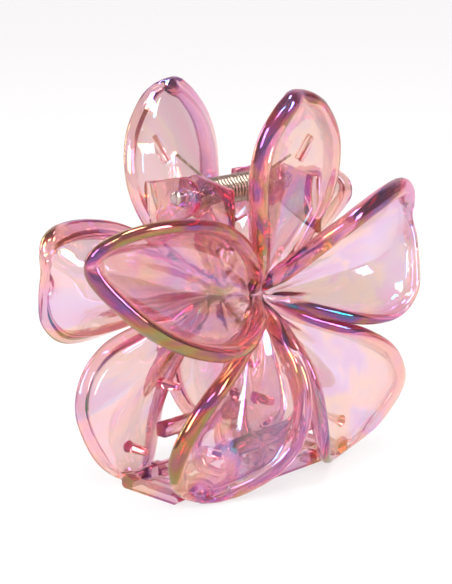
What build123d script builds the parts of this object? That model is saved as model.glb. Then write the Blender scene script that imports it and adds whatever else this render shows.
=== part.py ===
from build123d import *
import math
import os

# Flower claw clip. Millimetres, +Z up. Origin: centre of the footprint, on the
# plane the closed clip stands on. The hinge axis runs along Y. The front jaw is
# on the +X side; the rear jaw is made the same way and turned 180 deg about Z.

FLOWER_Z = 37.4        # height of the flower's throat above the standing plane
HINGE_Z = 58.4         # height of the hinge axis
WALL = 1.9             # petal wall
PIN_D = 1.9            # hinge pin diameter
PIN_BORE_D = 2.0       # lug bore: 0.05 mm radial running clearance
PIN_LEN = 30.6
PIN_HEAD_D = 2.9
PIN_HEAD_T = 0.6
LUG_R = 3.9            # rounded lug end
LUG_T = 2.8
LUG_IN = 8.6           # inner lug: |Y| from here to LUG_IN + LUG_T
LUG_OUT = 11.8         # outer lug: |Y| from here to LUG_OUT + LUG_T
WIRE_D = 0.78          # spring wire
COIL_R = 2.55          # coil mean radius
COIL_HALF = 7.7        # coil half length
TURNS = 18
TOOTH_W = 1.9
INNER_TEETH_Y = [-10.0, -2.0, 6.0]
OUTER_TEETH_Y = [-18.0, 14.0, 22.0]
INNER_TIP_X = -2.0
RAIL_Z = 9.4           # comb rail height above the standing plane
TOOTH_H = 2.2
PEG_D = 2.2
PEG_L = 5.0
LEG_TIP_X = 7.7        # spring leg tips, on the backs of the handles
LEG_TIP_Z = 65.2

# Each petal is a list of stations from the throat to the tip. A station holds
# one rim, the bottom of the cup and the other rim, as (X, Y, height above throat).
HANDLE = [
    ((5.6, -0.3, 1.4), (4.8, 1.2, 1.6), (5.8, 2.7, 1.2)),
    ((10.0, -2.6, 8.2), (5.0, 2.4, 6.8), (9.0, 7.0, 5.8)),
    ((14.0, -6.2, 14.6), (5.2, 3.0, 13.3), (10.8, 12.0, 12.6)),
    ((16.0, -8.8, 20.8), (6.2, 3.0, 20.4), (12.8, 14.9, 19.6)),
    ((17.2, -9.8, 26.8), (8.4, 2.8, 27.3), (14.4, 14.9, 26.0)),
    ((18.2, -8.8, 32.6), (11.6, 2.0, 33.6), (16.2, 12.4, 32.0)),
    ((18.9, -5.8, 37.2), (15.4, 1.2, 38.4), (17.8, 7.4, 37.2)),
    ((19.2, -2.4, 40.0), (18.0, -0.2, 40.6), (18.9, 2.2, 40.0)),
]
SPOON = [
    ((5.6, 0.4, 1.6), (4.8, 0.0, 0.4), (5.8, 0.3, -0.8)),
    ((9.5, -3.2, 7.0), (5.2, -4.5, 2.1), (12.0, -5.3, -3.3)),
    ((13.5, -10.7, 13.4), (6.0, -11.0, 4.1), (16.5, -12.1, -5.7)),
    ((15.6, -20.1, 18.0), (6.8, -19.1, 6.4), (18.0, -19.7, -5.8)),
    ((15.3, -29.8, 19.6), (7.2, -27.6, 8.7), (17.2, -28.7, -3.1)),
    ((13.8, -38.0, 19.2), (7.8, -35.5, 10.9), (15.4, -36.9, 1.9)),
    ((12.2, -43.4, 17.6), (8.6, -42.2, 12.9), (12.9, -42.9, 8.2)),
    ((10.6, -46.3, 15.2), (9.8, -46.2, 14.1), (10.8, -46.2, 13.0)),
]
WAVE = [
    ((5.6, 2.2, 1.7), (4.8, 2.6, 0.3), (5.7, 2.6, -0.8)),
    ((9.0, 5.7, 4.9), (5.2, 7.0, 1.2), (10.5, 6.8, -2.4)),
    ((14.0, 10.4, 9.8), (6.0, 13.4, 2.4), (15.0, 12.8, -4.8)),
    ((16.8, 17.2, 14.2), (6.8, 21.4, 3.8), (17.4, 20.2, -6.8)),
    ((16.6, 24.7, 16.8), (8.0, 29.2, 5.0), (17.6, 27.2, -7.6)),
    ((15.4, 31.6, 18.2), (9.8, 34.6, 6.2), (17.4, 32.2, -6.8)),
    ((14.0, 36.6, 18.0), (12.0, 38.0, 7.2), (17.2, 35.6, -4.0)),
    ((13.2, 38.8, 14.0), (13.8, 39.4, 8.2), (16.8, 37.6, 0.4)),
]
LOWER_LEFT = [
    ((5.6, 0.2, -0.9), (4.8, 0.7, -1.3), (5.8, 1.3, -1.4)),
    ((10.5, -5.1, -4.4), (5.6, -2.2, -6.5), (12.5, 0.8, -6.6)),
    ((14.0, -10.9, -7.4), (7.0, -5.8, -12.0), (18.0, 0.2, -11.5)),
    ((15.8, -16.9, -10.5), (8.8, -9.4, -17.7), (20.4, -0.3, -17.5)),
    ((16.0, -22.4, -14.1), (10.2, -13.0, -23.2), (20.4, -1.6, -23.8)),
    ((14.6, -26.6, -19.5), (10.6, -16.2, -28.6), (18.4, -4.2, -29.4)),
    ((12.4, -28.0, -25.6), (10.2, -19.0, -32.4), (15.2, -8.8, -33.2)),
    ((10.4, -26.0, -31.2), (9.4, -20.8, -35.3), (11.6, -14.8, -35.6)),
]
LOWER_RIGHT = [
    ((5.6, 2.6, -1.0), (4.8, 2.2, -1.4), (5.8, 1.7, -1.6)),
    ((10.5, 7.8, -4.3), (5.6, 5.3, -6.7), (12.5, 2.1, -6.8)),
    ((14.2, 14.8, -7.2), (7.0, 9.6, -12.0), (17.6, 2.4, -11.9)),
    ((16.4, 22.2, -10.0), (8.8, 13.4, -17.6), (19.6, 3.4, -17.8)),
    ((17.4, 29.4, -14.8), (10.2, 16.8, -23.4), (19.6, 4.8, -23.8)),
    ((17.2, 32.4, -21.4), (10.6, 19.6, -29.2), (18.0, 7.3, -29.6)),
    ((15.2, 29.8, -27.6), (10.2, 20.8, -33.6), (14.8, 11.2, -33.8)),
    ((12.2, 26.4, -33.2), (9.8, 21.4, -36.0), (11.6, 16.4, -36.0)),
]
# The rear moulding's two spread petals are a little narrower.
REAR_WAVE = WAVE[:2] + [
    ((14.0, 10.4, 9.4), (6.0, 13.4, 2.4), (15.0, 12.8, -4.8)),
    ((16.4, 17.0, 13.0), (6.8, 21.0, 3.4), (17.0, 20.0, -6.4)),
    ((16.0, 24.2, 14.8), (8.0, 28.4, 4.2), (17.0, 26.8, -6.8)),
    ((14.8, 30.8, 15.4), (9.6, 33.6, 4.8), (16.6, 31.6, -5.8)),
    ((13.2, 35.6, 14.8), (11.6, 36.6, 5.2), (16.2, 34.6, -3.0)),
    ((12.4, 37.6, 11.4), (13.0, 37.8, 6.0), (15.8, 36.4, 0.6)),
]
REAR_LOWER_RIGHT = LOWER_RIGHT[:3] + [
    ((16.4, 20.6, -10.0), (8.8, 13.0, -17.6), (19.6, 3.4, -17.8)),
    ((17.2, 25.2, -14.8), (10.2, 15.8, -23.4), (19.4, 4.8, -23.8)),
    ((16.8, 27.4, -21.2), (10.6, 18.0, -29.2), (17.8, 7.3, -29.6)),
    ((14.8, 26.8, -27.6), (10.2, 19.4, -33.6), (14.6, 11.2, -33.8)),
    ((12.2, 24.8, -33.2), (9.8, 20.4, -36.0), (11.6, 16.0, -36.0)),
]
# Grip pegs: Y, height above the throat and the petal they stand on.
PEGS = [(-16.0, -27.6, "lower_left_petal"), (-9.2, -17.6, "lower_left_petal"),
        (20.5, -29.6, "lower_right_petal"), (13.0, -17.6, "lower_right_petal")]
# Sector of the flower that each petal fills, in degrees about the throat.
THROAT_Y = 1.4
THROAT_Z = 0.3
SECTORS = {
    "handle_petal": (48.0, 118.0),
    "left_petal": (118.0, 210.0),
    "right_petal": (-22.0, 48.0),
    "lower_left_petal": (210.0, 270.0),
    "lower_right_petal": (-90.0, -22.0),
}
NU = 15                # sections along a petal
NV = 11                # points across a petal
STEEP = 0.85           # 0 = parabolic cup, 1 = steep elliptic walls


def section_points(a, s, b, wall):
    """Closed planar outline of one petal section: a cupped band with round rims."""
    a, s, b = Vector(*a), Vector(*s), Vector(*b)
    h = (b - a) * 0.5
    c = (a + b) * 0.5 - s
    ex = h.normalized()
    ey = (c - ex * c.dot(ex)).normalized()
    hx, cx, cy = h.length, c.dot(ex), c.dot(ey)
    mid = []
    for i in range(NV):
        v = -1 + 2 * i / (NV - 1)
        g = (1 - STEEP) * v + STEEP * math.sin(math.pi * v / 2)
        k = (1 - STEEP) * v * v + STEEP * (1 - math.cos(math.pi * v / 2))
        dg = (1 - STEEP) + STEEP * math.pi / 2 * math.cos(math.pi * v / 2)
        dk = 2 * (1 - STEEP) * v + STEEP * math.pi / 2 * math.sin(math.pi * v / 2)
        x, y = hx * g + cx * k, cy * k
        tx, ty = hx * dg + cx * dk, cy * dk
        tl = math.hypot(tx, ty)
        mid.append((x, y, tx / tl, ty / tl))
    w = min(wall / 2, 0.4 * hx)
    inner = [(x - ty * w, y + tx * w) for x, y, tx, ty in mid]
    outer = [(x + ty * w, y - tx * w) for x, y, tx, ty in mid]
    x, y, tx, ty = mid[-1]
    end_b = (x + tx * w * 0.8, y + ty * w * 0.8)
    x, y, tx, ty = mid[0]
    end_a = (x - tx * w * 0.8, y - ty * w * 0.8)
    loop = inner + [end_b] + outer[::-1] + [end_a]
    return [s + ex * p + ey * q for p, q in loop]


def smooth_stations(stations, count):
    """Catmull-Rom interpolation of the stations to an even, finer row."""
    n = len(stations)
    out = []
    for i in range(count):
        t = i * (n - 1) / (count - 1)
        j = min(int(t), n - 2)
        f = t - j
        idx = [max(j - 1, 0), j, j + 1, min(j + 2, n - 1)]
        st = []
        for m in range(3):
            p = [Vector(*stations[q][m]) for q in idx]
            v = (p[1] * 2 + (p[2] - p[0]) * f
                 + (p[0] * 2 - p[1] * 5 + p[2] * 4 - p[3]) * (f * f)
                 + (p[1] * 3 - p[0] - p[2] * 3 + p[3]) * (f * f * f)) * 0.5
            st.append((v.X, v.Y, v.Z))
        out.append(st)
    return out


def tri(p, q, r):
    return Face(Wire.make_polygon([p, q, r], close=True))


def petal(stations, wall=WALL):
    """Closed solid skinned over the petal's sections."""
    rows = [section_points(a, s, b, wall) for a, s, b in smooth_stations(stations, NU)]
    n = len(rows[0])
    faces = []
    for i in range(len(rows) - 1):
        for j in range(n):
            k = (j + 1) % n
            faces.append(tri(rows[i][j], rows[i + 1][j], rows[i + 1][k]))
            faces.append(tri(rows[i][j], rows[i + 1][k], rows[i][k]))
    for row in (rows[0], rows[-1]):
        # end caps: a strip between the two sides of the band
        left = [row[-1]] + row[:NV] + [row[NV]]
        right = [row[-1]] + row[NV + 1:-1][::-1] + [row[NV]]
        for j in range(len(left) - 1):
            if j > 0:
                faces.append(tri(left[j], left[j + 1], right[j]))
            if j < len(left) - 2:
                faces.append(tri(left[j + 1], right[j + 1], right[j]))
    return Solid(Shell(faces))


def sector(a0, a1):
    """Wedge of space about the X axis between two angles."""
    r = 90.0
    n = 6
    pts = [(0, 0)]
    for i in range(n + 1):
        t = math.radians(a0 + (a1 - a0) * i / n)
        pts.append((r * math.cos(t), r * math.sin(t)))
    face = Plane.YZ * make_face(Polyline(*pts, close=True))
    return extrude(face, 40).moved(Location((-5, THROAT_Y, THROAT_Z)))


def biggest(shape):
    sol = shape.solids()
    return max(sol, key=lambda s: s.volume) if sol else shape


def near_solid(shape, p):
    """The solid of a compound that is nearest to point p."""
    v = Vertex(*p)
    return min(shape.solids(), key=lambda s: s.distance_to(v))


def bar(p, q, w, h):
    """Straight bar with rounded long edges from p to q, w across, h high."""
    p, q = Vector(*p), Vector(*q)
    d = q - p
    pl = Plane(origin=p, x_dir=Vector(0, 1, 0) if abs(d.normalized().Y) < 0.9 else Vector(1, 0, 0), z_dir=d)
    return extrude(pl * RectangleRounded(w, h, min(w, h) * 0.3), d.length)


def jaw(wave, lower_right):
    up = Location((0, 0, FLOWER_Z))
    nodes = {}
    shapes = {
        "handle_petal": HANDLE, "left_petal": SPOON, "right_petal": wave,
        "lower_left_petal": LOWER_LEFT, "lower_right_petal": lower_right,
    }
    for name, st in shapes.items():
        body = petal(st) & sector(*SECTORS[name])
        nodes[name] = biggest(body).moved(up)

    # hinge lugs: plates from the back of the handle petal to the pin
    handle = nodes["handle_petal"]
    side = nodes["left_petal"]
    far_side = nodes["right_petal"]
    for name, y0, root_x in (("left_hinge_lug", -LUG_IN - LUG_T, 11.5), ("right_hinge_lug", LUG_OUT, 12.2)):
        outline = make_face(Polyline(
            (0, HINGE_Z + LUG_R), (root_x, HINGE_Z + 1.6), (root_x, HINGE_Z - 10.0),
            (-1.6, HINGE_Z - 0.9 * LUG_R), close=True)) + Pos(0, HINGE_Z) * Circle(LUG_R)
        plate = extrude(Plane(origin=(0, y0 + LUG_T, 0), x_dir=(1, 0, 0), z_dir=(0, -1, 0)) * outline, LUG_T)
        for cut in (handle, side, far_side):
            plate = plate - cut
        plate = near_solid(plate, (0, y0 + LUG_T / 2, HINGE_Z - 3))
        bore = Location((0, y0 - 1, HINGE_Z)) * Rot(-90, 0, 0) * Cylinder(
            PIN_BORE_D / 2, LUG_T + 2, align=(Align.CENTER, Align.CENTER, Align.MIN))
        nodes[name] = biggest(plate - bore)

    lower = (nodes["lower_left_petal"], nodes["lower_right_petal"])

    # comb: a rail between the two lower petals with inner teeth that curve down
    # and inwards, and outer teeth that start at the petals' feet; the top edges
    # of the teeth are finely serrated
    def serrated(x_root, x_tip):
        edge = []
        x = x_root
        while x > x_tip + 1.2:
            edge += [(x, TOOTH_H), (x - 0.5, TOOTH_H - 0.35)]
            x -= 1.0
        return edge[::-1]

    def tooth(y, profile):
        return extrude(Plane(origin=(0, y + TOOTH_W / 2, 0), x_dir=(1, 0, 0), z_dir=(0, -1, 0))
                       * make_face(Polyline(*profile, close=True)), TOOTH_W)

    comb = Location((9.3, 1.0, RAIL_Z)) * Box(3.0, 24.0, 3.2)
    for y in INNER_TEETH_Y:
        comb = comb + tooth(y, [(10.8, RAIL_Z + 1.2), (10.8, RAIL_Z - 2.2), (8.9, 3.0), (6.0, 0.5), (5.0, 0.0),
                                (INNER_TIP_X, 0.0), (INNER_TIP_X - 1.2, 0.9), (INNER_TIP_X - 0.8, 1.5)]
                            + serrated(4.2, INNER_TIP_X) + [(6.2, 4.0), (7.9, 6.8), (7.9, RAIL_Z + 1.2)])
    for y in OUTER_TEETH_Y:
        comb = comb + tooth(y, [(9.7, 3.4), (9.7, 0.6), (9.1, 0.0), (-5.4, 0.0), (-6.7, 0.9), (-6.3, 1.5)]
                            + serrated(5.6, -6.3) + [(6.4, TOOTH_H), (7.4, 2.6), (8.0, 3.4)])
    # base strip that joins the outer teeth to the rail at the petals' feet
    comb = comb + Location((8.6, 2.0, 1.5)) * Box(2.4, 42.0, 3.0)
    for cut in lower:
        comb = comb - cut
    nodes["comb"] = near_solid(comb, (0.0, OUTER_TEETH_Y[-1], 1.0))

    # grip pegs: tapered pins that stand inwards from the lower petals
    pegs = []
    for y, z, stands_on in PEGS:
        xs = surface_x(shapes[stands_on], y, z)
        peg = Location((xs - WALL / 2 - PEG_L, y, FLOWER_Z + z)) * Rot(0, 90, 0) * Cone(
            PEG_D * 0.36, PEG_D / 2, PEG_L + 4.0, align=(Align.CENTER, Align.CENTER, Align.MIN))
        for cut in lower:
            peg = peg - cut
        pegs.append(near_solid(peg, (xs - WALL / 2 - PEG_L + 1, y, FLOWER_Z + z)))
    nodes["grip_pegs"] = Compound(children=pegs)

    # rib on the back of the handle that keeps the spring leg in place
    y, z = 9.9, 29.0
    xs = surface_x(HANDLE, y, z)
    rib = Location((xs + 0.4, y, FLOWER_Z + z)) * Rot(-10, 0, 0) * Rot(0, 27, 0) * Box(4.4, 1.2, 7.0)
    rib = rib - handle
    nodes["spring_rib"] = near_solid(rib, (xs - 1.6, y, FLOWER_Z + z))
    return nodes


def surface_x(stations, y, z):
    """X of the petal's middle surface at a given Y and height above the throat."""
    best = None
    for a, s, b in smooth_stations(stations, 80):
        a, s, b = Vector(*a), Vector(*s), Vector(*b)
        h = (b - a) * 0.5
        c = (a + b) * 0.5 - s
        for i in range(81):
            v = -1 + i / 40
            g = (1 - STEEP) * v + STEEP * math.sin(math.pi * v / 2)
            k = (1 - STEEP) * v * v + STEEP * (1 - math.cos(math.pi * v / 2))
            p = s + h * g + c * k
            d = (p.Y - y) ** 2 + (p.Z - z) ** 2
            if best is None or d < best[0]:
                best = (d, p.X)
    return best[1]


def spring():
    """Close-wound torsion spring about the pin with one straight leg per jaw."""
    tip = Vector(-LEG_TIP_X, 0, LEG_TIP_Z - HINGE_Z)
    reach = math.hypot(tip.X, tip.Z)
    start = math.atan2(tip.Z, tip.X) - math.acos(COIL_R / reach)
    sweep_turns = TURNS - (math.pi - 2 * start) / (2 * math.pi)
    # the coil, drawn as a helix from the rear leg to the front leg
    height = 2 * COIL_HALF
    helix = Helix(pitch=height / sweep_turns, height=height, radius=COIL_R)
    at = Plane(origin=(0, -COIL_HALF, HINGE_Z),
               x_dir=(math.cos(start), 0, math.sin(start)), z_dir=(0, 1, 0))
    path = Wire([helix.edge()]).moved(at.location)
    coil = sweep(Plane(origin=path @ 0, z_dir=path % 0) * Circle(WIRE_D / 2), path=path, is_frenet=True)
    parts = [coil]
    for sign in (-1, 1):
        p = Vector(-sign * COIL_R * math.cos(start), sign * COIL_HALF, HINGE_Z + COIL_R * math.sin(start))
        q = Vector(sign * LEG_TIP_X, sign * COIL_HALF, LEG_TIP_Z)
        d = (q - p).normalized()
        parts.append(extrude(Plane(origin=p, z_dir=d) * Circle(WIRE_D / 2), (q - p).length))
    return Compound(children=parts)


def hinge_pin():
    pin = Location((0, 0, HINGE_Z)) * Rot(90, 0, 0) * Cylinder(PIN_D / 2, PIN_LEN)
    for sign in (-1, 1):
        head = Location((0, sign * (PIN_LEN / 2 + PIN_HEAD_T / 2), HINGE_Z)) * Rot(90, 0, 0) * Cylinder(
            PIN_HEAD_D / 2, PIN_HEAD_T)
        pin = pin + head
    return pin


if __name__ == "__main__":
    os.makedirs("parts", exist_ok=True)
    for name, shape in jaw(WAVE, LOWER_RIGHT).items():
        export_step(shape, "parts/front_%s.step" % name)
    for name, shape in jaw(REAR_WAVE, REAR_LOWER_RIGHT).items():
        export_step(shape.moved(Location((0, 0, 0), (0, 0, 180))), "parts/rear_%s.step" % name)
    export_step(hinge_pin(), "parts/hinge_pin.step")
    export_step(spring(), "parts/torsion_spring.step")
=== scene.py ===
"""Flower claw clip: the looks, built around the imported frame. Metres, same frame as the CAD."""
import bpy
import bmesh
import math
import numpy as np
from mathutils import Vector, Matrix, Euler


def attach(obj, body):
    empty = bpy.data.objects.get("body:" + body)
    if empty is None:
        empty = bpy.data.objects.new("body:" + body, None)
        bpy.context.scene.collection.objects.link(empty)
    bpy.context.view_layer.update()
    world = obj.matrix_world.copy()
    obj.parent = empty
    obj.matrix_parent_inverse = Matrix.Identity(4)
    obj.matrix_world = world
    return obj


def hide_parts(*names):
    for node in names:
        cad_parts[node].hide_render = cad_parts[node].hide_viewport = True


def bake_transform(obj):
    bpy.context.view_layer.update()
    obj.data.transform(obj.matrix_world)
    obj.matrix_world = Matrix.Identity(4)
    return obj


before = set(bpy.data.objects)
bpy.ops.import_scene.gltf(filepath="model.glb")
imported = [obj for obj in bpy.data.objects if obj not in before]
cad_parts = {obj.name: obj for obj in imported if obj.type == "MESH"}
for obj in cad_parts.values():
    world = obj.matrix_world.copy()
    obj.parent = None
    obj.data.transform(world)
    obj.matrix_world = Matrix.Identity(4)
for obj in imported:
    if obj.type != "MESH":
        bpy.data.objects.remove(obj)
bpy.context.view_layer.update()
MM = 0.001

# ---------------------------------------------------------------- dimensions
FLOWER_Z = 37.4
HINGE_Z = 58.4

# Petal stations from the throat to the tip: one rim, the bottom of the cup,
# the other rim, as (X, Y, height above the throat), in millimetres.
HANDLE = [
    ((5.6, -0.3, 1.4), (4.8, 1.2, 1.6), (5.8, 2.7, 1.2)),
    ((10.0, -2.6, 8.2), (5.0, 2.4, 6.8), (9.0, 7.0, 5.8)),
    ((14.0, -6.2, 14.6), (5.2, 3.0, 13.3), (10.8, 12.0, 12.6)),
    ((16.0, -8.8, 20.8), (6.2, 3.0, 20.4), (12.8, 14.9, 19.6)),
    ((17.2, -9.8, 26.8), (8.4, 2.8, 27.3), (14.4, 14.9, 26.0)),
    ((18.2, -8.8, 32.6), (11.6, 2.0, 33.6), (16.2, 12.4, 32.0)),
    ((18.9, -5.8, 37.2), (15.4, 1.2, 38.4), (17.8, 7.4, 37.2)),
    ((19.2, -2.4, 40.0), (18.0, -0.2, 40.6), (18.9, 2.2, 40.0)),
]
SPOON = [
    ((5.6, 0.4, 1.6), (4.8, 0.0, 0.4), (5.8, 0.3, -0.8)),
    ((9.5, -3.2, 7.0), (5.2, -4.5, 2.1), (12.0, -5.3, -3.3)),
    ((13.5, -10.7, 13.4), (6.0, -11.0, 4.1), (16.5, -12.1, -5.7)),
    ((15.6, -20.1, 18.0), (6.8, -19.1, 6.4), (18.0, -19.7, -5.8)),
    ((15.3, -29.8, 19.6), (7.2, -27.6, 8.7), (17.2, -28.7, -3.1)),
    ((13.8, -38.0, 19.2), (7.8, -35.5, 10.9), (15.4, -36.9, 1.9)),
    ((12.2, -43.4, 17.6), (8.6, -42.2, 12.9), (12.9, -42.9, 8.2)),
    ((10.6, -46.3, 15.2), (9.8, -46.2, 14.1), (10.8, -46.2, 13.0)),
]
WAVE = [
    ((5.6, 2.2, 1.7), (4.8, 2.6, 0.3), (5.7, 2.6, -0.8)),
    ((9.0, 5.7, 4.9), (5.2, 7.0, 1.2), (10.5, 6.8, -2.4)),
    ((14.0, 10.4, 9.8), (6.0, 13.4, 2.4), (15.0, 12.8, -4.8)),
    ((16.8, 17.2, 14.2), (6.8, 21.4, 3.8), (17.4, 20.2, -6.8)),
    ((16.6, 24.7, 16.8), (8.0, 29.2, 5.0), (17.6, 27.2, -7.6)),
    ((15.4, 31.6, 18.2), (9.8, 34.6, 6.2), (17.4, 32.2, -6.8)),
    ((14.0, 36.6, 18.0), (12.0, 38.0, 7.2), (17.2, 35.6, -4.0)),
    ((13.2, 38.8, 14.0), (13.8, 39.4, 8.2), (16.8, 37.6, 0.4)),
]
LOWER_LEFT = [
    ((5.6, 0.2, -0.9), (4.8, 0.7, -1.3), (5.8, 1.3, -1.4)),
    ((10.5, -5.1, -4.4), (5.6, -2.2, -6.5), (12.5, 0.8, -6.6)),
    ((14.0, -10.9, -7.4), (7.0, -5.8, -12.0), (18.0, 0.2, -11.5)),
    ((15.8, -16.9, -10.5), (8.8, -9.4, -17.7), (20.4, -0.3, -17.5)),
    ((16.0, -22.4, -14.1), (10.2, -13.0, -23.2), (20.4, -1.6, -23.8)),
    ((14.6, -26.6, -19.5), (10.6, -16.2, -28.6), (18.4, -4.2, -29.4)),
    ((12.4, -28.0, -25.6), (10.2, -19.0, -32.4), (15.2, -8.8, -33.2)),
    ((10.4, -26.0, -31.2), (9.4, -20.8, -35.3), (11.6, -14.8, -35.6)),
]
LOWER_RIGHT = [
    ((5.6, 2.6, -1.0), (4.8, 2.2, -1.4), (5.8, 1.7, -1.6)),
    ((10.5, 7.8, -4.3), (5.6, 5.3, -6.7), (12.5, 2.1, -6.8)),
    ((14.2, 14.8, -7.2), (7.0, 9.6, -12.0), (17.6, 2.4, -11.9)),
    ((16.4, 22.2, -10.0), (8.8, 13.4, -17.6), (19.6, 3.4, -17.8)),
    ((17.4, 29.4, -14.8), (10.2, 16.8, -23.4), (19.6, 4.8, -23.8)),
    ((17.2, 32.4, -21.4), (10.6, 19.6, -29.2), (18.0, 7.3, -29.6)),
    ((15.2, 29.8, -27.6), (10.2, 20.8, -33.6), (14.8, 11.2, -33.8)),
    ((12.2, 26.4, -33.2), (9.8, 21.4, -36.0), (11.6, 16.4, -36.0)),
]
# The rear moulding's two spread petals are a little narrower.
REAR_WAVE = WAVE[:2] + [
    ((14.0, 10.4, 9.4), (6.0, 13.4, 2.4), (15.0, 12.8, -4.8)),
    ((16.4, 17.0, 13.0), (6.8, 21.0, 3.4), (17.0, 20.0, -6.4)),
    ((16.0, 24.2, 14.8), (8.0, 28.4, 4.2), (17.0, 26.8, -6.8)),
    ((14.8, 30.8, 15.4), (9.6, 33.6, 4.8), (16.6, 31.6, -5.8)),
    ((13.2, 35.6, 14.8), (11.6, 36.6, 5.2), (16.2, 34.6, -3.0)),
    ((12.4, 37.6, 11.4), (13.0, 37.8, 6.0), (15.8, 36.4, 0.6)),
]
REAR_LOWER_RIGHT = LOWER_RIGHT[:3] + [
    ((16.4, 20.6, -10.0), (8.8, 13.0, -17.6), (19.6, 3.4, -17.8)),
    ((17.2, 25.2, -14.8), (10.2, 15.8, -23.4), (19.4, 4.8, -23.8)),
    ((16.8, 27.4, -21.2), (10.6, 18.0, -29.2), (17.8, 7.3, -29.6)),
    ((14.8, 26.8, -27.6), (10.2, 19.4, -33.6), (14.6, 11.2, -33.8)),
    ((12.2, 24.8, -33.2), (9.8, 20.4, -36.0), (11.6, 16.0, -36.0)),
]
STEEP = {"handle": 0.85, "spoon": 0.9, "wave": 0.8, "lower_left": 0.85, "lower_right": 0.85}


DETAIL = {"handle": dict(bead=1.25, bead_a=2.0, folds=(0.30, 3.0, 0.4, 0.55)),
          "spoon": dict(bead=1.7, bead_a=1.3, tip=2.1, folds=(0.30, 3.4, 1.1, 0.7)),
          "wave": dict(bead=1.35, bead_a=2.0, folds=(0.42, 4.2, 0.2, 0.9), notch=(2.6, -0.35, 0.28), turn=0.9),
          "lower_left": dict(bead=1.6, bead_a=1.75, turn=0.93, folds=(0.42, 4.0, 0.9, 0.75)),
          "lower_right": dict(bead=1.3, bead_a=1.4, turn=0.93, folds=(0.36, 4.0, 0.0, 0.8))}


# ---------------------------------------------------------------- mesh helpers
def catmull(st, ts):
    """Values of a Catmull-Rom curve through rows st at parameters ts in 0..1."""
    st = np.asarray(st, float)
    n = len(st)
    ext = np.concatenate([[2 * st[0] - st[1]], st, [2 * st[-1] - st[-2]]])
    t = np.clip(np.asarray(ts, float), 0, 1) * (n - 1)
    j = np.minimum(t.astype(int), n - 2)
    f = (t - j).reshape((-1,) + (1,) * (st.ndim - 1))
    p0, p1, p2, p3 = ext[j], ext[j + 1], ext[j + 2], ext[j + 3]
    return 0.5 * (2 * p1 + (p2 - p0) * f + (2 * p0 - 5 * p1 + 4 * p2 - p3) * f * f + (3 * p1 - p0 - 3 * p2 + p3) * f ** 3)


def cup(st, steep, uu, vv):
    """Points of the cupped middle surface at parameters uu (length) and vv (across)."""
    rows = catmull(st, uu.ravel())
    v = vv.ravel()[:, None]
    a, s, b = rows[:, 0], rows[:, 1], rows[:, 2]
    h = (b - a) / 2
    c = (a + b) / 2 - s
    g = (1 - steep) * v + steep * np.sin(math.pi * v / 2)
    k = (1 - steep) * v * v + steep * (1 - np.cos(math.pi * v / 2))
    return (s + h * g + c * k).reshape(uu.shape + (3,))


def normals(fn, uu, vv):
    e = 1e-3
    u0, u1 = np.maximum(uu - e, 0), np.minimum(uu + e, 1)
    n = np.cross(fn(u1, vv) - fn(u0, vv), fn(uu, vv + e) - fn(uu, vv - e))
    n /= np.linalg.norm(n, axis=-1, keepdims=True) + 1e-15
    # out of the hollow of the cup, which faces +X
    return n if n[len(n) // 2, n.shape[1] // 2, 0] > 0 else -n


def mesh_object(name, verts, faces):
    me = bpy.data.meshes.new(name)
    me.from_pydata([tuple(v) for v in verts], [], faces)
    me.validate()
    bm = bmesh.new()
    bm.from_mesh(me)
    bmesh.ops.remove_doubles(bm, verts=bm.verts, dist=1e-7)
    bmesh.ops.recalc_face_normals(bm, faces=bm.faces)
    bm.to_mesh(me)
    bm.free()
    ob = bpy.data.objects.new(name, me)
    bpy.context.scene.collection.objects.link(ob)
    return ob


def smoothstep(x, a, b):
    t = np.clip((x - a) / (b - a), 0, 1)
    return t * t * (3 - 2 * t)


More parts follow.
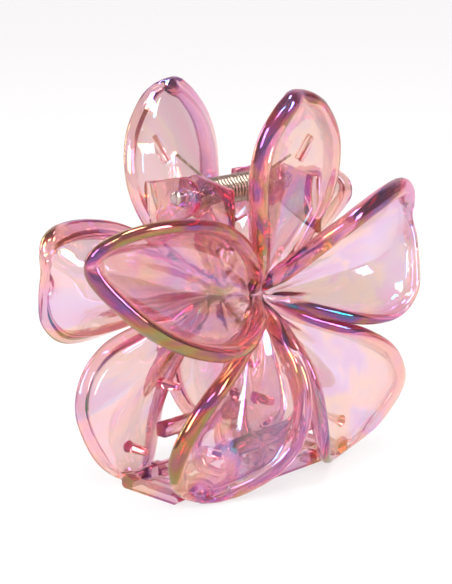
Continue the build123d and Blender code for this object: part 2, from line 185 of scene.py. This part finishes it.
def petal_mesh(name, st, steep, nu=84, nv=48, wall=1.4, bead=1.25, bead_a=None, folds=None, notch=None, turn=0.945, tip=0.7):
    """One thick cupped petal (mm): a shell with a round, heavier rim."""
    st = np.asarray(st, float)
    # the outline turns its far corners in a superellipse sweep
    th = np.linspace(0, math.pi / 2, 31)[1:-1]
    pw = 2 / 2.7
    us = np.concatenate([np.linspace(0, turn, nu - len(th)), turn + (1 - turn) * np.sin(th) ** pw])
    ws = np.concatenate([np.ones(nu - len(th)), np.cos(th) ** pw])
    ss = np.sin(np.linspace(-1, 1, nv) * math.pi / 2 * 0.92) / math.sin(math.pi / 2 * 0.92)
    vv = ws[:, None] * ss[None, :]
    uu = np.repeat(us[:, None], nv, axis=1)
    if notch is not None:
        uu = uu - notch[0] / 45.0 * np.exp(-((vv - notch[1]) / notch[2]) ** 2) * smoothstep(uu, 0.6, 1.0)

    # set the rim's centre line in, so the round rim ends where the petal does
    ends = cup(st, steep, np.repeat(us[:, None], 3, axis=1), np.repeat([[-1.0, 0.0, 1.0]], len(us), axis=0))
    halfw = (np.linalg.norm(ends[:, 0] - ends[:, 1], axis=1) + np.linalg.norm(ends[:, 2] - ends[:, 1], axis=1)) / 2
    length = np.r_[0, np.cumsum(np.linalg.norm(np.diff(ends[:, 1], axis=0), axis=1))]
    inset = 0.85 * smoothstep(length, 2.0, 12.0)
    vv = vv * np.maximum(0.7, 1 - inset / halfw)[:, None]
    uu = uu * (1 - tip / length[-1])

    def base(a, b):
        return cup(st, steep, a, b)

    def surf(a, b):
        p = base(a, b)
        if folds is None:
            return p
        # soft pleats that run out from the throat and fade towards the rim
        amp, count, phase, end = folds
        env = smoothstep(a, 0.02, 0.16) * (1 - smoothstep(a, end * 0.35, end))
        wave = np.cos(math.pi * count * b + phase) * (1 - np.minimum(np.abs(b), 1) ** 5)
        return p + normals(base, a, b) * (amp * env * wave)[..., None]

    mid = surf(uu, vv)
    nrm = normals(surf, uu, vv)
    # distance to the rim, in mm, for the bead
    dv = np.gradient(mid, axis=1)
    du = np.gradient(mid, axis=0)
    wlen = np.linalg.norm(dv, axis=2)
    acc = np.cumsum(wlen, axis=1)
    dist = np.minimum(acc - wlen * 0.5, acc[:, -1:] - acc + wlen * 0.5)
    accu = np.cumsum(np.linalg.norm(du, axis=2), axis=0)
    d = np.minimum(dist, accu[-1:, :] - accu)
    vr = np.clip(vv, -1, 1)
    rim = np.full(vv.shape, bead)
    if bead_a is not None:
        rim = bead_a + (bead - bead_a) * smoothstep(vr, -1.0, 0.6)
    half = wall / 2 + (rim - wall / 2) * np.exp(-(d / 1.7) ** 2)
    # thinner where the petal starts, so the throat stays crisp
    half *= (0.62 + 0.38 * smoothstep(accu, 0.0, 6.0))
    start_w = acc[:nu - len(th), -1:]
    half[:nu - len(th)] = np.minimum(half[:nu - len(th)], start_w * 0.34)
    top = mid + nrm * half[..., None]
    bot = mid - nrm * half[..., None]
    U, V = len(us), nv
    verts = []
    faces = []
    idx_t = np.arange(U * V).reshape(U, V)
    idx_b = idx_t + U * V
    verts += list(top.reshape(-1, 3)) + list(bot.reshape(-1, 3))
    for i in range(U - 1):
        for j in range(V - 1):
            faces.append((idx_t[i, j], idx_t[i, j + 1], idx_t[i + 1, j + 1], idx_t[i + 1, j]))
            faces.append((idx_b[i, j], idx_b[i + 1, j], idx_b[i + 1, j + 1], idx_b[i, j + 1]))
    # round rim along side A, the tip and side B
    loop = [(i, 0) for i in range(U)] + [(U - 1, j) for j in range(1, V)] + [(i, V - 1) for i in range(U - 2, -1, -1)]
    P = np.array([mid[i, j] for i, j in loop])
    N = np.array([nrm[i, j] for i, j in loop])
    H = np.array([half[i, j] for i, j in loop])
    T = np.gradient(P, axis=0)
    for _ in range(2):
        T[1:-1] = (T[:-2] + T[1:-1] * 2 + T[2:]) / 4
    T /= np.linalg.norm(T, axis=1, keepdims=True) + 1e-12
    B = np.cross(T, N)
    B /= np.linalg.norm(B, axis=1, keepdims=True) + 1e-12
    centre = mid[U // 2, V // 2]
    inward = np.array([mid[max(i - 4, 0), V // 2] for i, j in loop]) - P
    B = -B * np.sign((B * inward).sum())
    for _ in range(6):
        B[1:-1] = (B[:-2] + B[1:-1] * 2 + B[2:]) / 4
        B[1:-1] -= N[1:-1] * (B[1:-1] * N[1:-1]).sum(1, keepdims=True)
        B /= np.linalg.norm(B, axis=1, keepdims=True) + 1e-12
    M = 7
    prev = [idx_t[i, j] for i, j in loop]
    base = len(verts)
    for m in range(1, M):
        a = math.pi / 2 - math.pi * m / M
        ring = P + N * (H * math.sin(a))[:, None] + B * (H * math.cos(a))[:, None] * 0.9
        cur = list(range(len(verts), len(verts) + len(loop)))
        verts += list(ring)
        for q in range(len(loop) - 1):
            faces.append((prev[q], prev[q + 1], cur[q + 1], cur[q]))
        prev = cur
    last = [idx_b[i, j] for i, j in loop]
    for q in range(len(loop) - 1):
        faces.append((prev[q], prev[q + 1], last[q + 1], last[q]))
    # close the start: fan around the first row's outline
    ring0 = [int(idx_t[0, j]) for j in range(V)]
    n = len(loop)
    end_side = [base + m * n + n - 1 for m in range(M - 1)]
    start_side = [base + m * n for m in range(M - 1)]
    outline = ring0 + end_side + [int(idx_b[0, j]) for j in range(V - 1, -1, -1)] + start_side[::-1]
    c = np.mean([verts[q] for q in outline], axis=0)
    verts.append(c)
    ci = len(verts) - 1
    for q in range(len(outline)):
        faces.append((outline[q], outline[(q + 1) % len(outline)], ci))
    verts = np.array(verts)
    verts[:, 2] += FLOWER_Z
    return mesh_object(name, verts * MM, [tuple(int(x) for x in f) for f in faces])


def boolean(target, other, op):
    mod = target.modifiers.new("b", "BOOLEAN")
    mod.object = other
    mod.operation = op
    mod.solver = "MANIFOLD"
    dg = bpy.context.evaluated_depsgraph_get()
    me = bpy.data.meshes.new_from_object(target.evaluated_get(dg))
    target.modifiers.clear()
    old = target.data
    target.data = me
    bpy.data.meshes.remove(old)
    bpy.data.objects.remove(other)


def prism(name, outline, y0, y1, bevel=0.35):
    """Solid between two Y planes from an XZ outline in mm, with softened edges."""
    bm = bmesh.new()
    vs = [bm.verts.new((x * MM, y0 * MM, z * MM)) for x, z in outline]
    f = bm.faces.new(vs)
    r = bmesh.ops.extrude_face_region(bm, geom=[f])
    up = [v for v in r["geom"] if isinstance(v, bmesh.types.BMVert)]
    for v in up:
        v.co.y = y1 * MM
    bmesh.ops.recalc_face_normals(bm, faces=bm.faces)
    if bevel:
        bmesh.ops.bevel(bm, geom=list(bm.edges), offset=bevel * MM, segments=2, profile=0.5,
                        affect="EDGES", clamp_overlap=True)
    me = bpy.data.meshes.new(name)
    bm.to_mesh(me)
    bm.free()
    ob = bpy.data.objects.new(name, me)
    bpy.context.scene.collection.objects.link(ob)
    return ob


def tube(name, pts, radii, seg=20, caps=True):
    """Round bar along points (mm) with a radius for each point."""
    pts = np.asarray(pts, float)
    radii = np.broadcast_to(np.asarray(radii, float), (len(pts),))
    T = np.gradient(pts, axis=0)
    T /= np.linalg.norm(T, axis=1, keepdims=True)
    up = np.array([0.0, 1.0, 0.0]) if abs(T[0][1]) < 0.8 else np.array([1.0, 0.0, 0.0])
    verts = []
    faces = []
    u = np.cross(T[0], up)
    u /= np.linalg.norm(u)
    for i in range(len(pts)):
        u = u - T[i] * u.dot(T[i])
        u /= np.linalg.norm(u)
        w = np.cross(T[i], u)
        for k in range(seg):
            a = 2 * math.pi * k / seg
            verts.append(pts[i] + radii[i] * (math.cos(a) * u + math.sin(a) * w))
    for i in range(len(pts) - 1):
        for k in range(seg):
            k2 = (k + 1) % seg
            faces.append((i * seg + k, i * seg + k2, (i + 1) * seg + k2, (i + 1) * seg + k))
    if caps:
        verts.append(pts[0])
        faces += [((k + 1) % seg, k, len(verts) - 1) for k in range(seg)]
        verts.append(pts[-1])
        o = (len(pts) - 1) * seg
        faces += [(o + k, o + (k + 1) % seg, len(verts) - 1) for k in range(seg)]
    return mesh_object(name, np.array(verts) * MM, faces)


def arc(cx, cz, r, a0, a1, n=24):
    return [(cx + r * math.cos(math.radians(a0 + (a1 - a0) * i / n)),
             cz + r * math.sin(math.radians(a0 + (a1 - a0) * i / n))) for i in range(n + 1)]


# ---------------------------------------------------------------- the jaw moulding
def surf_x(st, steep, y, z):
    uu, vv = np.meshgrid(np.linspace(0, 1, 160), np.linspace(-1, 1, 121), indexing="ij")
    p = cup(st, steep, uu, vv)
    q = np.argmin((p[..., 1] - y) ** 2 + (p[..., 2] - z) ** 2)
    return float(p.reshape(-1, 3)[q, 0])


def build_jaw(name, wave, lower_right):
    petals = [("handle", HANDLE), ("spoon", SPOON), ("wave", wave), ("lower_left", LOWER_LEFT), ("lower_right", lower_right)]
    jaw = None
    for n, st in petals:
        d = dict(DETAIL[n])
        if n == "wave" and wave is not WAVE:
            d["notch"] = (1.5, -0.35, 0.28)
        p = petal_mesh(n, st, STEEP[n], **d)
        if jaw is None:
            jaw = p
        else:
            boolean(jaw, p, "UNION")
    # throat: a small smooth boss where the petals meet
    th = tube("throat", [(3.9, 1.3, FLOWER_Z + 0.2), (4.3, 1.3, FLOWER_Z + 0.2), (5.2, 1.3, FLOWER_Z + 0.2), (5.8, 1.3, FLOWER_Z + 0.2)],
              [1.5, 2.3, 2.2, 0.9], 24)
    boolean(jaw, th, "UNION")
    # hinge lugs
    for y0, root in ((-11.4, 9.6), (11.8, 11.0)):
        out = ([(root, HINGE_Z - 9.6)] + [(root, HINGE_Z + 1.9)] + arc(0, HINGE_Z, 3.9, 76, 234, 20))
        lug = prism("lug", out, y0 + 0.6, y0 + 2.2, 0.3)
        boolean(jaw, lug, "UNION")
        bore = tube("bore", [(0, y0 - 1, HINGE_Z), (0, y0 + 3.8, HINGE_Z)], 1.02, 28)
        boolean(jaw, bore, "DIFFERENCE")
    # comb: rail, feet strip, teeth with serrated tops
    rail = prism("rail", [(8.0, 7.9), (10.6, 7.9), (10.6, 10.9), (8.0, 10.9)], -10.5, 12.5, 0.4)
    boolean(jaw, rail, "UNION")
    strip = prism("strip", [(7.5, 0.05), (9.7, 0.05), (9.7, 2.9), (7.5, 2.9)], -18.9, 22.9, 0.3)
    boolean(jaw, strip, "UNION")
    for y in (-10.0, -2.0, 6.0, -18.0, 14.0, 22.0):
        inner = y in (-10.0, -2.0, 6.0)
        tip = -2.0 if inner else -5.5
        top = []
        x = 4.2 if inner else 6.0
        while not inner and x > tip + 0.8:
            top += [(x, 2.2), (x - 0.25, 1.86)]
            x -= 0.5
        if inner:
            out = [(10.4, 10.4), (10.4, 7.4), (8.9, 3.0), (6.0, 0.5), (5.0, 0.02), (tip, 0.02), (tip - 1.2, 0.9), (tip - 0.8, 1.5)] \
                + [(4.2, 2.0), (6.2, 4.0), (7.9, 6.8), (7.9, 10.4)]
        else:
            out = [(9.6, 3.2), (9.6, 0.6), (9.0, 0.02), (tip, 0.02), (tip - 1.2, 0.9), (tip - 0.8, 1.5)] \
                + top[::-1] + [(6.6, 2.2), (7.4, 2.6), (8.0, 3.2)]
        t = prism("tooth", out, y - 0.95, y + 0.95, 0.3 if inner else 0.0)
        boolean(jaw, t, "UNION")
    # grip pegs: tapered with round ends
    for y, z, st, sp in ((-16.0, -27.6, LOWER_LEFT, 0.85), (-9.2, -17.6, LOWER_LEFT, 0.85),
                         (20.5, -29.6, lower_right, 0.85), (13.0, -17.6, lower_right, 0.85)):
        xs = surf_x(st, sp, y, z)
        tipx = xs - 0.95 - 5.0
        peg = tube("peg", [(tipx, y, FLOWER_Z + z), (tipx + 0.12, y, FLOWER_Z + z), (tipx + 0.45, y, FLOWER_Z + z),
                           (xs - 1.4, y, FLOWER_Z + z), (xs - 0.5, y, FLOWER_Z + z), (xs, y, FLOWER_Z + z)],
                   [0.35, 0.66, 0.82, 1.05, 1.35, 1.5], 22)
        boolean(jaw, peg, "UNION")
    # rib beside the spring leg
    xs = surf_x(HANDLE, 0.85, 9.9, 29.0)
    rib = prism("rib", [(-1.3, -2.9), (1.2, -2.9), (1.2, 2.9), (-1.3, 2.9)], -0.5, 0.5, 0.25)
    rib.data.transform(Matrix.Translation((xs * MM, 9.9 * MM, (FLOWER_Z + 29.0) * MM)) @ Euler((math.radians(-10), math.radians(27), 0)).to_matrix().to_4x4())
    boolean(jaw, rib, "UNION")
    jaw.name = name
    me = jaw.data
    me.name = name
    for v in me.vertices:
        if v.co.z < 0.00002:
            v.co.z = 0.00002
    for p in me.polygons:
        p.use_smooth = True
    me.set_sharp_from_angle(angle=math.radians(38))
    return jaw


front = build_jaw("front_jaw_moulding", WAVE, LOWER_RIGHT)
rear = build_jaw("rear_jaw_moulding", REAR_WAVE, REAR_LOWER_RIGHT)
rear.data.transform(Matrix.Rotation(math.pi, 4, "Z"))
print("JAW faces", len(front.data.polygons), "box", [round(x * 1000, 1) for x in front.bound_box[0]], [round(x * 1000, 1) for x in front.bound_box[6]])

# ---------------------------------------------------------------- spring and pin
def spring_points():
    R, half, turns = 2.55, 7.7, 18
    tip = (7.7, 65.2)
    reach = math.hypot(tip[0], tip[1] - HINGE_Z)
    start = math.atan2(tip[1] - HINGE_Z, -tip[0]) - math.acos(R / reach)
    total = 2 * math.pi * turns - (math.pi - 2 * start)
    pts = []
    n = 18 * 36
    for i in range(n + 1):
        t = i / n
        a = start - total * t
        # the coil climbs evenly along Y from one end to the other
        y = -half + 2 * half * t
        pts.append((R * math.cos(a), y, HINGE_Z + R * math.sin(a)))
    a0 = pts[0]
    leg0 = []
    m = 16
    for i in range(m):
        s = i / m
        leg0.append((-tip[0] + (a0[0] + tip[0]) * s, -half, tip[1] + (a0[2] - tip[1]) * s))
    a1 = pts[-1]
    leg1 = []
    for i in range(1, m + 1):
        s = i / m
        leg1.append((a1[0] + (tip[0] - a1[0]) * s, half, a1[2] + (tip[1] - a1[2]) * s))
    return leg0 + pts + leg1


spring = tube("spring_wire", spring_points(), 0.31, 14)
for p in spring.data.polygons:
    p.use_smooth = True
spring.data.set_sharp_from_angle(angle=math.radians(50))

# pin: straight shaft with a domed, slightly flattened head at each end
pin = tube("hinge_pin_body",
           [(0, y, HINGE_Z) for y in (-15.9, -15.88, -15.75, -15.5, -15.36, -15.3, -15.29, -15.0, 0, 15.0, 15.29, 15.3, 15.36, 15.5, 15.75, 15.88, 15.9)],
           [0.5, 0.95, 1.28, 1.42, 1.42, 1.3, 0.95, 0.94, 0.94, 0.94, 0.95, 1.3, 1.42, 1.42, 1.28, 0.95, 0.5], 40)
for p in pin.data.polygons:
    p.use_smooth = True
pin.data.set_sharp_from_angle(angle=math.radians(40))


# ---------------------------------------------------------------- materials
def new_mat(name):
    m = bpy.data.materials.new(name)
    m.use_nodes = True
    nt = m.node_tree
    for n in list(nt.nodes):
        nt.nodes.remove(n)
    out = nt.nodes.new("ShaderNodeOutputMaterial")
    bsdf = nt.nodes.new("ShaderNodeBsdfPrincipled")
    nt.links.new(bsdf.outputs["BSDF"], out.inputs["Surface"])
    return m, nt, bsdf, out


def ramp(nt, stops, interp="B_SPLINE"):
    r = nt.nodes.new("ShaderNodeValToRGB")
    r.color_ramp.interpolation = interp
    els = r.color_ramp.elements
    while len(els) > 1:
        els.remove(els[-1])
    els[0].position = stops[0][0]
    els[0].color = (*stops[0][1], 1)
    for p, c in stops[1:]:
        e = els.new(p)
        e.color = (*c, 1)
    return r


def math_node(nt, op, a, b=None):
    n = nt.nodes.new("ShaderNodeMath")
    n.operation = op
    for i, v in enumerate((a, b)):
        if v is None:
            continue
        if isinstance(v, (int, float)):
            n.inputs[i].default_value = v
        else:
            nt.links.new(v, n.inputs[i])
    return n.outputs[0]


def clear_plastic(name, side):
    m, nt, b, out = new_mat(name)
    b.inputs["Transmission Weight"].default_value = 0.965
    b.inputs["IOR"].default_value = 1.5
    tc = nt.nodes.new("ShaderNodeTexCoord")
    sep = nt.nodes.new("ShaderNodeSeparateXYZ")
    nt.links.new(tc.outputs["Object"], sep.inputs["Vector"])
    # directions round the throat, so colour runs out along the petals in rays
    y = math_node(nt, "MULTIPLY", sep.outputs["Y"], float(side))
    y = math_node(nt, "SUBTRACT", y, 0.0014)
    z = math_node(nt, "SUBTRACT", sep.outputs["Z"], (FLOWER_Z + 0.3) * MM)
    rad = math_node(nt, "SQRT", math_node(nt, "ADD", math_node(nt, "ADD", math_node(nt, "MULTIPLY", y, y), math_node(nt, "MULTIPLY", z, z)), 4e-6))
    dy = math_node(nt, "DIVIDE", y, rad)
    dz = math_node(nt, "DIVIDE", z, rad)
    comb = nt.nodes.new("ShaderNodeCombineXYZ")
    nt.links.new(math_node(nt, "MULTIPLY", dy, 1.7), comb.inputs["X"])
    nt.links.new(math_node(nt, "MULTIPLY", dz, 1.7), comb.inputs["Y"])
    nt.links.new(math_node(nt, "MULTIPLY", math_node(nt, "ADD", rad, sep.outputs["X"]), 34.0 * side), comb.inputs["Z"])
    rays = nt.nodes.new("ShaderNodeTexNoise")
    rays.inputs["Scale"].default_value = 2.2
    rays.inputs["Detail"].default_value = 3.0
    rays.inputs["Distortion"].default_value = 0.5
    nt.links.new(comb.outputs["Vector"], rays.inputs["Vector"])
    tint = ramp(nt, [(0.28, (0.86, 0.68, 0.86)), (0.38, (0.90, 0.80, 0.84)), (0.46, (0.92, 0.87, 0.76)), (0.52, (0.84, 0.88, 0.86)),
                     (0.59, (0.80, 0.80, 0.93)), (0.70, (0.89, 0.69, 0.83))])
    nt.links.new(rays.outputs["Fac"], tint.inputs["Fac"])
    nt.links.new(tint.outputs["Color"], b.inputs["Base Color"])
    # film thickness in nanometres
    film = nt.nodes.new("ShaderNodeMapRange")
    film.inputs["From Min"].default_value = 0.3
    film.inputs["From Max"].default_value = 0.7
    film.inputs["To Min"].default_value = 210.0
    film.inputs["To Max"].default_value = 314.0
    nt.links.new(rays.outputs["Fac"], film.inputs["Value"])
    # the coating went on thicker where the surface faces up
    nsep = nt.nodes.new("ShaderNodeSeparateXYZ")
    nt.links.new(tc.outputs["Normal"], nsep.inputs["Vector"])
    lift = math_node(nt, "MULTIPLY", math_node(nt, "ADD", nsep.outputs["Z"], 1.0), 8.0)
    nt.links.new(math_node(nt, "ADD", film.outputs["Result"], lift), b.inputs["Thin Film Thickness"])
    b.inputs["Thin Film IOR"].default_value = 2.02
    # fine haze of a coated moulding
    n2 = nt.nodes.new("ShaderNodeTexNoise")
    n2.inputs["Scale"].default_value = 160.0
    n2.inputs["Detail"].default_value = 4.0
    nt.links.new(tc.outputs["Object"], n2.inputs["Vector"])
    rr = nt.nodes.new("ShaderNodeMapRange")
    rr.inputs["From Min"].default_value = 0.35
    rr.inputs["From Max"].default_value = 0.75
    rr.inputs["To Min"].default_value = 0.02
    rr.inputs["To Max"].default_value = 0.09
    nt.links.new(n2.outputs["Fac"], rr.inputs["Value"])
    nt.links.new(rr.outputs["Result"], b.inputs["Roughness"])
    bump = nt.nodes.new("ShaderNodeBump")
    bump.inputs["Strength"].default_value = 0.25
    bump.inputs["Distance"].default_value = 0.0005
    nt.links.new(rays.outputs["Fac"], bump.inputs["Height"])
    nt.links.new(bump.outputs["Normal"], b.inputs["Normal"])
    vol = nt.nodes.new("ShaderNodeVolumeAbsorption")
    vol.inputs["Color"].default_value = (0.86, 0.05, 0.17, 1)
    vol.inputs["Density"].default_value = 226.0
    nt.links.new(vol.outputs["Volume"], out.inputs["Volume"])
    return m


def steel(name, base, rough):
    m, nt, b, out = new_mat(name)
    b.inputs["Metallic"].default_value = 1.0
    tc = nt.nodes.new("ShaderNodeTexCoord")
    n1 = nt.nodes.new("ShaderNodeTexNoise")
    n1.inputs["Scale"].default_value = 900.0
    n1.inputs["Detail"].default_value = 5.0
    nt.links.new(tc.outputs["Object"], n1.inputs["Vector"])
    c = ramp(nt, [(0.3, tuple(x * 0.82 for x in base)), (0.6, base), (0.8, tuple(min(1, x * 1.1) for x in base))], "LINEAR")
    nt.links.new(n1.outputs["Fac"], c.inputs["Fac"])
    nt.links.new(c.outputs["Color"], b.inputs["Base Color"])
    r = nt.nodes.new("ShaderNodeMapRange")
    r.inputs["To Min"].default_value = rough * 0.7
    r.inputs["To Max"].default_value = rough * 1.4
    nt.links.new(n1.outputs["Fac"], r.inputs["Value"])
    nt.links.new(r.outputs["Result"], b.inputs["Roughness"])
    return m


pink = clear_plastic("pink_iridescent_plastic", 1)
pink_rear = clear_plastic("pink_iridescent_plastic_rear", -1)
wire_mat = steel("spring_wire_steel", (0.52, 0.43, 0.35), 0.24)
pin_mat = steel("pin_steel", (0.60, 0.50, 0.45), 0.26)
front.data.materials.clear(); front.data.materials.append(pink)
rear.data.materials.clear(); rear.data.materials.append(pink_rear)
spring.data.materials.append(wire_mat)
pin.data.materials.append(pin_mat)

NAMES = ["handle_petal", "left_petal", "right_petal", "lower_left_petal", "lower_right_petal",
         "left_hinge_lug", "right_hinge_lug", "comb", "grip_pegs", "spring_rib"]
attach(front, "front_jaw")
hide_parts(*["front_" + n for n in NAMES])
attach(rear, "rear_jaw")
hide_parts(*["rear_" + n for n in NAMES])
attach(pin, "rear_jaw")
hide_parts("hinge_pin")
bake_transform(spring)
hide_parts("torsion_spring")

# ---------------------------------------------------------------- stage, light and camera
bpy.ops.mesh.primitive_plane_add(size=14.0, location=(0, 0, 0))
floor = bpy.context.object
floor.name = "floor"
fm, fnt, fb, fout = new_mat("pale_floor")
fb.inputs["Base Color"].default_value = (0.26, 0.26, 0.26, 1)
fb.inputs["Emission Color"].default_value = (1, 1, 1, 1)
fb.inputs["Emission Strength"].default_value = 0.69
fb.inputs["Roughness"].default_value = 0.6
floor.data.materials.append(fm)

AZ, EL, ROLL, DIST = math.radians(44.47), math.radians(13.22), math.radians(-0.78), 0.3309
u = Vector((math.cos(EL) * math.sin(AZ), -math.cos(EL) * math.cos(AZ), math.sin(EL)))
r = Vector((math.cos(AZ), math.sin(AZ), 0))
up = u.cross(r)
r2 = r * math.cos(ROLL) + up * math.sin(ROLL)
up2 = -r * math.sin(ROLL) + up * math.cos(ROLL)
target = Vector((0, 0, FLOWER_Z * MM))
cam_d = bpy.data.cameras.new("camera")
cam = bpy.data.objects.new("camera", cam_d)
bpy.context.scene.collection.objects.link(cam)
rot = Matrix((r2, up2, u)).transposed()
cam.matrix_world = Matrix.Translation(target + u * DIST) @ rot.to_4x4()
cam_d.sensor_width = 36.0
cam_d.lens = 36.0 * 1654.3 / 584.0
cam_d.shift_x = -8.3 / 584.0
cam_d.clip_start = 0.01
bpy.context.scene.camera = cam

world = bpy.data.worlds.new("world")
bpy.context.scene.world = world
world.use_nodes = True
wnt = world.node_tree
bg = wnt.nodes["Background"]
tc = wnt.nodes.new("ShaderNodeTexCoord")
# bright backdrop beyond the clip, a dimmer room around it
dot = wnt.nodes.new("ShaderNodeVectorMath")
dot.operation = "DOT_PRODUCT"
dot.inputs[1].default_value = tuple(-u)
wnt.links.new(tc.outputs["Generated"], dot.inputs[0])
wr = wnt.nodes.new("ShaderNodeValToRGB")
els = wr.color_ramp.elements
els[0].position = 0.0
els[0].color = (0.68, 0.65, 0.68, 1)
els[1].position = 1.0
els[1].color = (1, 1, 1, 1)
e = els.new(0.40)
e.color = (0.26, 0.13, 0.16, 1)
e = els.new(0.60)
e.color = (0.30, 0.15, 0.18, 1)
e = els.new(0.78)
e.color = (1, 1, 1, 1)
mr = wnt.nodes.new("ShaderNodeMapRange")
mr.inputs["From Min"].default_value = -1.0
mr.inputs["From Max"].default_value = 1.0
wnt.links.new(dot.outputs["Value"], mr.inputs["Value"])
wnt.links.new(mr.outputs["Result"], wr.inputs["Fac"])
wnt.links.new(wr.outputs["Color"], bg.inputs["Color"])
bg.inputs["Strength"].default_value = 1.05


def area(name, loc, aim, sx, sy, power, color=(1, 1, 1)):
    d = bpy.data.lights.new(name, "AREA")
    d.shape = "RECTANGLE"
    d.size = sx
    d.size_y = sy
    d.energy = power
    d.color = color
    o = bpy.data.objects.new(name, d)
    bpy.context.scene.collection.objects.link(o)
    o.location = loc
    o.rotation_euler = (Vector(aim) - Vector(loc)).to_track_quat("-Z", "Y").to_euler()
    return o


area("key_left", (0.05, -0.75, 0.45), (0, 0, 0.04), 0.26, 0.42, 5.4)
area("top", (0.1, 0.1, 0.8), (0, 0, 0.04), 0.30, 0.16, 2.6)
area("right", (0.70, 0.25, 0.35), (0, 0, 0.04), 0.16, 0.35, 2.8)

area("rim_strip", (0.42, -0.30, 0.62), (0, 0, 0.04), 0.30, 0.10, 1.5)
area("left_strip", (-0.62, -0.28, 0.30), (0, 0, 0.04), 0.05, 0.45, 1.1)

sc = bpy.context.scene
sc.view_settings.view_transform = "Standard"
sc.view_settings.look = "None"
sc.view_settings.exposure = 0.0
sc.cycles.max_bounces = 22
sc.cycles.transmission_bounces = 20
sc.cycles.glossy_bounces = 8
sc.cycles.transparent_max_bounces = 16
sc.cycles.diffuse_bounces = 3
